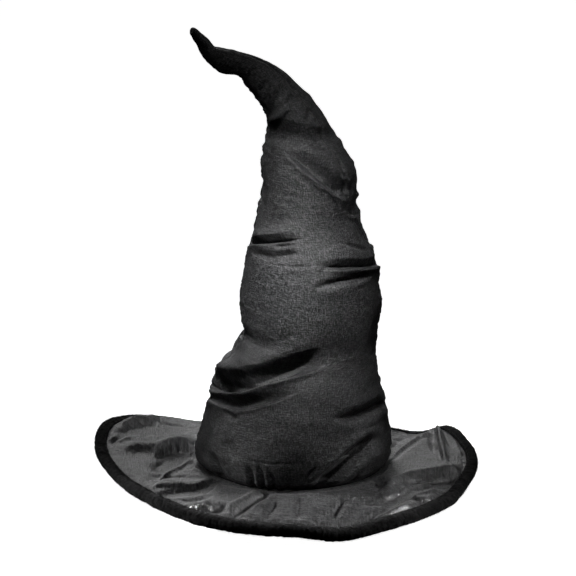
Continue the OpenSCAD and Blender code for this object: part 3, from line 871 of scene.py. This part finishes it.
ringL = LP1[-1]
cen = ringL.mean(0)
for k in range(1, n_d):
    f = k / n_d
    rise = np.array([0, 0, 15.0]) * math.sin(f * math.pi / 2)
    sh = math.cos(f * math.pi / 2)
    pleat = 1 + 0.05 * np.cos(np.radians(LA * 12 + 40 * np.sin(np.radians(LA * 3)))) * f
    dome.append(cen + (ringL - cen) * sh * pleat[:, None] + rise)
LPall = np.concatenate([LP1, np.array(dome)])
o = shell("crown_lining_cloth", LPall, 0.6, True, None)
me = o.data
# cap the lining's gathered top
nr, nc = LPall.shape[:2]
bm = bmesh.new()
bm.from_mesh(me)
bmesh.ops.holes_fill(bm, edges=[e for e in bm.edges if e.is_boundary], sides=0)
bm.to_mesh(me)
bm.free()
uvl = me.uv_layers.new(name="cloth")
co = np.empty(len(me.vertices) * 3, np.float32)
me.vertices.foreach_get("co", co)
co = co.reshape(-1, 3)
vi = np.empty(len(me.loops), np.int32)
me.loops.foreach_get("vertex_index", vi)
uvl.data.foreach_set("uv", np.stack([np.arctan2(co[vi, 1], co[vi, 0] - 0.01) * 0.085, co[vi, 2]], -1).astype(np.float32).ravel())
finish_piece(o, "lining", node_name="crown_lining", blend=BLENDS["low"])
a = sheet_area(np.concatenate([LPall, LPall[:, :1]], 1))

# ------------------------------------------------------------------- brim
BN = 720
BA = np.arange(BN) * 360 / BN
BV = np.linspace(0, 1, 62)
rr_, rz_ = rim_rz(BA)
BR = 94.2 + (rr_[None, :] + 1.5 - 94.2) * BV[:, None]
BAa = np.broadcast_to(BA, BR.shape)
def brim_surface(R, Aa, depth):
    z = brim_z(R, Aa)
    dz = (brim_z(R + 0.5, Aa) - brim_z(R - 0.5, Aa))
    c = 1 / np.sqrt(1 + dz * dz)
    r = R + depth * dz * c
    return np.stack([r * np.cos(np.radians(Aa)), r * np.sin(np.radians(Aa)), z - depth * c], -1)


BP = brim_surface(BR, BAa, 0.0)
BNm = grid_normals(BP, True)
BNm = np.where(BNm[..., 2:] < 0, -BNm, BNm)
bs_, bt_ = BP[..., 0], BP[..., 2] + TILT * BP[..., 1]
BH = np.zeros(BR.shape)


BRIM_K = 1.75


def bfold(pts, depth, width, **kw):
    global BH
    pts = [(x, y * 0.9914) for x, y in pts]
    kw = {k: (v * BRIM_K if k in ("up", "dn") else v) for k, v in kw.items()}
    h, _, _ = crease(bs_, bt_, pts, depth * BRIM_K, width, **kw)
    BH = BH + h * smooth(-BP[..., 1], -150, -110)


# left wing
bfold([(-208, 38), (-188, 42), (-160, 45), (-123, 47)], -3.0, 4.0)
bfold([(-196, 30), (-163, 34), (-130, 34), (-96, 35)], 3.5, 5.5)
bfold([(-198, 18), (-188, 24), (-175, 31)], 4.0, 2.2, up=0.6, dn=1.4, dnw=3)
bfold([(-202, 16), (-180, 13), (-150, 13), (-120, 15), (-98, 16)], -4.0, 5.0)
bfold([(-150, 1), (-139, 6), (-130, 8), (-117, 9), (-99, 9)], 5.5, 2.0, up=2.6, upw=5, dn=-1.6, dnw=8, fade=(0.3, 0.05))
bfold([(-158, -12), (-137, -6), (-121, 0), (-104, 5)], 3.4, 5.0, fade=(0.4, 0.05))
# the tuck at the foot of the crown
tri = [(-105, 2), (-85, -21), (-147, -25), (-126, -12)]
def inside(pts):
    pts = np.asarray(pts, float)
    m = np.ones(bs_.shape)
    k = len(pts)
    for i in range(k):
        a, b = pts[i], pts[(i + 1) % k]
        d = b - a
        l = np.hypot(*d)
        x = (d[0] * (bt_ - a[1]) - d[1] * (bs_ - a[0])) / l
        m = m * smooth(-x, -1.6, 2.2)
    return m


BH = BH + 3.6 * inside([(-105, 4), (-83, -21), (-104, -30), (-150, -30)])
bfold([(-105, 3), (-114, -3), (-123, -9), (-134, -16), (-150, -25)], -2.4, 1.6, up=-1.2, upw=3, fade=(0.05, 0.4))
bfold([(-105, 3), (-98, -4), (-92, -11), (-83, -22)], -2.4, 1.6, fade=(0.05, 0.2))
bfold([(-82, -24), (-93, -31), (-108, -34), (-125, -36), (-150, -37)], 3.2, 3.4, fade=(0.1, 0.3))
bfold([(-150, -44), (-121, -45), (-100, -43), (-80, -34)], 2.6, 4.0, dn=1.2, dnw=4)
bfold([(-122, -53), (-105, -55), (-90, -56), (-76, -53), (-64, -48)], 2.0, 2.8, up=0.6, upw=4, dn=0.7, dnw=4)
bfold([(-74, -55), (-57, -46), (-45, -39), (-31, -33)], -2.0, 3.4, fade=(0.2, 0.1))
bfold([(-70, -64), (-54, -54), (-41, -44), (-27, -36)], 2.2, 3.2, dn=0.8, dnw=4, fade=(0.2, 0.1))
bfold([(-34, -66), (-22, -52), (-16, -40)], 1.8, 5.0)
bfold([(2, -66), (6, -52), (8, -40)], 1.4, 5.0)
bfold([(40, -66), (46, -54), (54, -42)], 1.8, 4.0, dn=0.8)
# right wing
bfold([(80, -22), (94, -5), (106, 2), (120, 12), (134, 22), (148, 32)], -3.4, 2.0, up=-4.0, upw=6, dn=1.6, dnw=6, fade=(0.15, 0.1))
bfold([(155, 36), (156, 20), (159, 6), (163, -8)], -4.0, 2.8, fade=(0.05, 0.3))
bfold([(148, 30), (147, 18), (150, 6)], 2.4, 2.6)
bfold([(164, 38), (165, 26), (171, 12)], 5.0, 3.0, fade=(0.05, 0.4))
bfold([(173, 27), (178, 16), (183, 6)], 3.6, 1.8, up=1.4, upw=2, dn=1.4, dnw=2)
bfold([(88, -38), (104, -27), (121, -19), (144, -15), (180, -11)], -4.0, 4.2, fade=(0.2, 0.15))
bfold([(92, -50), (110, -41), (128, -35), (155, -27), (175, -21)], 4.2, 4.0, fade=(0.2, 0.15))
bfold([(120, -41), (139, -36), (158, -32)], -2.0, 1.4)
bfold([(80, -66), (96, -59), (112, -52), (130, -46)], -2.4, 2.4)
bfold([(96, -30), (90, -22), (86, -12)], 2.6, 3.4)
# the back of the brim
rng = np.random.default_rng(11)
for k in range(9):
    a0 = math.radians(42 + k * 12.5 + rng.uniform(-3, 3))
    a1 = a0 + rng.uniform(-0.35, 0.35)
    r0, r1 = rng.uniform(104, 122), rng.uniform(160, 196)
    dpt, wd = rng.uniform(1.8, 3.6), rng.uniform(4, 7)
    h, _, _ = crease(BP[..., 0], BP[..., 1], [(r0 * math.cos(a0), r0 * math.sin(a0)), (r1 * math.cos(a1), r1 * math.sin(a1))], dpt, wd, up=1.2, upw=7, dn=1.2, dnw=7)
    BH += h * smooth(BP[..., 1], 40, 80)
BH += 1.3 * noise3(BP, 46, 41) + 0.6 * noise3(BP, 19, 43)
BH += 0.22 * noise3(BP, (8, 8, 8), 45)
BH += wrinkles(BP, (46, 22, 30), 91, 0.16, 2.2, 46, -0.1, 0.4)
# gathers at the crown's seam and along the binding
inner = np.exp(-((BR - 102) / 9.0) ** 2)
outer = np.exp(-((rr_[None, :] - 3 - BR) / 9.0) ** 2)
BH += 0.9 * noise1(BAa * 1.78, 6.5, 47) * inner + 1.0 * noise1(BAa * 3.4, 9.0, 49) * outer
loft = 3.2 * smooth(BR, 101, 116) * smooth(rr_[None, :] - BR, 3.5, 16)
lift = smooth(BR, 100.5, 108) * smooth(rr_[None, :] - BR, 3.0, 12)
top = 0.1 + np.maximum(loft + BH * lift, 0.25 * np.tanh(loft + BH * lift) + 0.0)
top = np.where(loft + BH * lift > 0.3, loft + BH * lift, 0.3 * np.exp((loft + BH * lift) - 0.3)) + 0.1
BPt = BP + BNm * top[..., None]
uvb = np.stack([BPt[..., 0], BPt[..., 1] * 0.5], -1) * 0.001
o = shell("brim_top_satin", BPt, -0.7, True, uvb, -BNm, BP + BNm * (top[..., None] - 0.7))
# the grid runs inwards to outwards, so its own normal points down: turn it over
def face_up(o, want_up):
    me = o.data
    n = len(me.polygons)
    nrm = np.empty(n * 3, np.float32)
    me.polygons.foreach_get("normal", nrm)
    a = np.empty(n, np.float32)
    me.polygons.foreach_get("area", a)
    return float((nrm.reshape(-1, 3)[:, 2] * a)[: n // 3].sum())


outward(o)
finish_piece(o, "brim", "hat_base", "brim_top_cover")

# underside
UV_ = np.linspace(0, 1, 40)
BR2 = 94.2 + (rr_[None, ::2] + 1.5 - 94.2) * UV_[:, None]
A2 = np.broadcast_to(BA[::2], BR2.shape)
UP = brim_surface(BR2, A2, BRIM_T)
UNm = grid_normals(UP, True)
UNm = np.where(UNm[..., 2:] > 0, -UNm, UNm)
edge_in = smooth(BR2, 96, 112) * smooth(rr_[None, ::2] - BR2, 5, 18)
uh = (1.2 + 1.0 * noise3(UP, 38, 61) + 0.7 * noise3(UP, (16, 16, 16), 63)) * edge_in
uh += 0.8 * noise1(A2 * 1.78, 8, 65) * np.exp(-((BR2 - 100) / 10) ** 2)
uh = np.maximum(uh, 0.05)
UP1 = UP + UNm * uh[..., None]
o = shell("brim_under_satin", UP1, 0.7, True, np.stack([UP1[..., 0], UP1[..., 1]], -1) * 0.001, None, UP + UNm * (uh[..., None] - 0.7))
outward(o)
finish_piece(o, "under", "hat_base", "brim_under_cover")

# ---------------------------------------------------------------- binding
prof = np.array([(-5.2, 2.35), (-5.6, 3.2), (-4.4, 4.3), (-1.6, 4.9), (1.4, 5.0), (4.0, 4.2), (5.6, 2.5), (6.2, 0),
                 (5.6, -2.5), (4.0, -4.3), (1.0, -5.0), (-2.4, -5.0), (-5.6, -4.6), (-7.2, -3.8), (-7.2, -2.4)])
inn = np.array([(-4.0, -2.25), (0.0, -2.25), (3.3, -2.2), (3.3, 2.2), (0.0, 2.25), (-3.0, 2.25)])
def resample(p, n):
    d = np.concatenate([[0], np.cumsum(np.hypot(*np.diff(p, axis=0).T))])
    q = np.linspace(0, d[-1], n)
    return np.stack([np.interp(q, d, p[:, 0]), np.interp(q, d, p[:, 1])], -1)


prof_f = resample(rows(np.c_[prof, np.zeros(len(prof))], np.linspace(0, len(prof) - 1, 90))[:, :2], 30)
sect = np.concatenate([prof_f, inn])
EN = 1180
EA = np.arange(EN) * 360 / EN
EP = np.stack([edge(EA, x, n) for x, n in sect], 1)  # (EN, section, 3)
cen = edge(EA, 0 * EA, 0 * EA)
out_dir = EP[:, :30] - cen[:, None]
out_dir = out_dir / np.linalg.norm(out_dir, axis=-1, keepdims=True)
pile = 0.55 * noise3(EP[:, :30], 2.6, 71) + 0.35 * noise3(EP[:, :30], 1.3, 72) + 0.6 * noise3(EP[:, :30], 11, 73)
thicker = lambda a: 1.6 * smooth(-np.sin(np.radians(a)), 0.2, 0.9)
EP[:, :30] += out_dir * (pile + 0.2 + thicker(EA)[:, None])[..., None]
nsec = len(sect)
F = []
i = np.arange(EN)[:, None]
jj = np.arange(nsec)[None, :]
a_ = i * nsec + jj
b_ = i * nsec + (jj + 1) % nsec
c_ = ((i + 1) % EN) * nsec + (jj + 1) % nsec
d_ = ((i + 1) % EN) * nsec + jj
F = np.stack([a_, b_, c_, d_], -1).reshape(-1, 4)
o = mesh("edge_binding_plush", EP, F)
outward(o)
finish_piece(o, "plush", "hat_base", "edge_binding")

# the pile: short tapering fibres, thickest along the outer edge
rng = np.random.default_rng(5)
NF = 42000
fa = rng.uniform(0, 360, NF)
fi = rng.uniform(0, 29, NF)
pf = np.stack([np.interp(fi, np.arange(30), prof_f[:, 0]), np.interp(fi, np.arange(30), prof_f[:, 1])], -1)
base = edge(fa, pf[:, 0], pf[:, 1])
c0 = edge(fa, 0 * fa, 0 * fa)
dirn = base - c0
dirn /= np.linalg.norm(dirn, axis=-1, keepdims=True)
base = base + dirn * thicker(fa)[:, None]
tilt = rng.normal(0, 0.55, (NF, 3))
dirn = dirn + tilt
dirn /= np.linalg.norm(dirn, axis=-1, keepdims=True)
length = rng.uniform(1.0, 2.3, NF)[:, None]
ref = np.where(np.abs(dirn[:, 2:]) < 0.9, np.array([[0, 0, 1.0]]), np.array([[1.0, 0, 0]]))
e1 = np.cross(dirn, ref)
e1 /= np.linalg.norm(e1, axis=-1, keepdims=True)
e2 = np.cross(dirn, e1)
w = rng.uniform(0.07, 0.13, NF)[:, None]
V = np.empty((NF, 4, 3))
for k in range(3):
    an = 2 * math.pi * k / 3
    V[:, k] = base + w * (math.cos(an) * e1 + math.sin(an) * e2)
V[:, 3] = base + dirn * length
q = np.arange(NF)[:, None] * 4
F = np.concatenate([q + np.array([[0, 1, 3]]), q + np.array([[1, 2, 3]]), q + np.array([[2, 0, 3]]), q + np.array([[0, 2, 1]])])
o = mesh("edge_binding_pile", V, F, None, False)
finish_piece(o, "plush", "hat_base")

# ------------------------------------------------------------ head opening
def band(name, r_in, r_out, z0, z1, mat, node_name, wav, seed, nz=14, na=720):
    th = np.arange(na) * 360 / na
    z = np.linspace(z0, z1, nz)
    ZZ, TT = np.meshgrid(z, th, indexing="ij")
    pts = lambda r: np.stack([r * np.cos(np.radians(TT)), r * np.sin(np.radians(TT)), ZZ], -1)
    k = noise1(TT * 1.6, 24, seed) * wav * smooth(ZZ, z0, z1)
    Po = pts(r_out + 0 * TT + k)
    Pi = pts(r_in + 0 * TT + k)
    uv = np.stack([np.radians(TT) * r_in, ZZ], -1) * 0.001
    o = shell(name, Po, 1, True, uv, None, Pi)
    outward(o)
    return finish_piece(o, mat, "hat_base", node_name)


o = band("sweatband_ribbon", 91.0, 92.4, 0.0, 32.0, "band", "sweatband", 0.15, 81)
o = band("headline_binding_tape", 92.8, 93.3, -4.2, 10.0, "tape", "headline_tape", 0.0, 83, 8)

# care label, blank, stitched along its top edge to the lining
lu = np.linspace(2.2, 4.0, 20)
la = np.linspace(81, 99, 22)
LB = crown_point(lu[:, None] + 0 * la, la + 0 * lu[:, None])
lnn = grid_normals(LB, False)
curl = 0.8 * np.sin((np.linspace(0, 1, 20)[:, None]) * 2.6) + 0.5 * np.cos(np.linspace(-2.2, 2.2, 22))[None, :]
Pl = LB - lnn * (9.6 + curl[..., None] * 0.9)
o = shell("care_label_cloth", Pl, 0.4, False, arc_uv(Pl))
outward(o)
finish_piece(o, "label", "hat_base", "care_label")

# ------------------------------------------------- carried CAD nodes' looks
for name, mat in {"brim_stiffener": "stiffener", "brim_edge_wire": "wire", "edge_wire_ferrule": "wire",
                  "binding_stitching": "thread", "sweatband_stitching": "thread",
                  "spine_wire_neck": "wire", "wire_base_cap": "cap",
                  "spine_wire_tail": "wire", "spine_wire_tip": "wire", "wire_tip_cap": "cap"}.items():
    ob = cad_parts[name]
    ob = ob if hasattr(ob, "material_slots") else bpy.data.objects[name]
    if not ob.material_slots:
        ob.data.materials.append(MAT[mat])
    for sl in ob.material_slots:
        sl.material = MAT[mat]

# ------------------------------------------------------------- floor, light
floor_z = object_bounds()[0][2]
R = 2.6
n = 28
gx = np.linspace(-R, R, n) * 1000
GX, GY = np.meshgrid(gx, gx, indexing="ij")
GZ = np.full(GX.shape, floor_z * 1000 - 0.3)
fl = mesh("floor", np.stack([GX, GY, GZ], -1), grid_faces(n, n, False)[:, ::-1])
m, nt, bs = tree("floor_white")
nn = noise_tex(nt, coords(nt, (3, 3, 3), False), 1.0, 2.0)
link(nt, ramp(nt, nn, [(0.3, (0.84, 0.84, 0.84)), (0.7, (0.88, 0.88, 0.88))]), bs.inputs["Base Color"])
bs.inputs["Roughness"].default_value = 0.9
bs.inputs["Specular IOR Level"].default_value = 0.1
bs.inputs["Emission Color"].default_value = (1, 1, 1, 1)
bs.inputs["Emission Strength"].default_value = 1.0
fl.data.materials.append(m)
fl.visible_diffuse = False
fl.visible_glossy = False

world = bpy.data.worlds.new("studio")
world.use_nodes = True
wt = world.node_tree
wt.nodes["Background"].inputs[0].default_value = (1, 1, 1, 1)
wt.nodes["Background"].inputs[1].default_value = 1.0
world.cycles_visibility.diffuse = False
world.cycles_visibility.glossy = False
scene.world = world


def lamp(name, azimuth, elevation, distance, aim, size, power, spread=180):
    """A square softbox, placed by its direction from the point that it is aimed at; azimuth 0 is the front."""
    d = bpy.data.lights.new(name, "AREA")
    d.energy = power
    d.shape = "SQUARE"
    d.size = size
    d.spread = math.radians(spread)
    ob = bpy.data.objects.new(name, d)
    scene.collection.objects.link(ob)
    a, e = math.radians(azimuth), math.radians(elevation)
    way = Vector((math.sin(a) * math.cos(e), -math.cos(a) * math.cos(e), math.sin(e)))
    ob.location = Vector(aim) + way * distance
    ob.rotation_euler = (-way).to_track_quat("-Z", "Y").to_euler()
    return ob


lamp("key", -8, 54, 1.8, (-0.008, 0, 0.152), 0.14, 0.5, 9)
lamp("fill", 0, 14, 2.2, (0, 0, 0.1), 1.2, 0.12)
lamp("top", 10, 64, 2.2, (0, 0, 0), 0.8, 1.5)
lamp("back", 188, 29, 1.9, (0, 0, 0.1), 0.8, 0.6, 40)
lamp("side_right", 104, 34, 1.9, (0, 0, 0.2), 0.7, 0.5, 40)
lamp("side_left", -114, 34, 1.9, (0, 0, 0.2), 0.7, 0.5, 40)
lamp("rake_left", -101, 18, 1.6, (0, -0.165, 0), 0.08, 0.12, 7)
lamp("rake_right", 101, 18, 1.6, (0, -0.165, 0), 0.08, 0.09, 7)
scene.view_settings.view_transform = "Standard"
scene.view_settings.exposure = 0.0
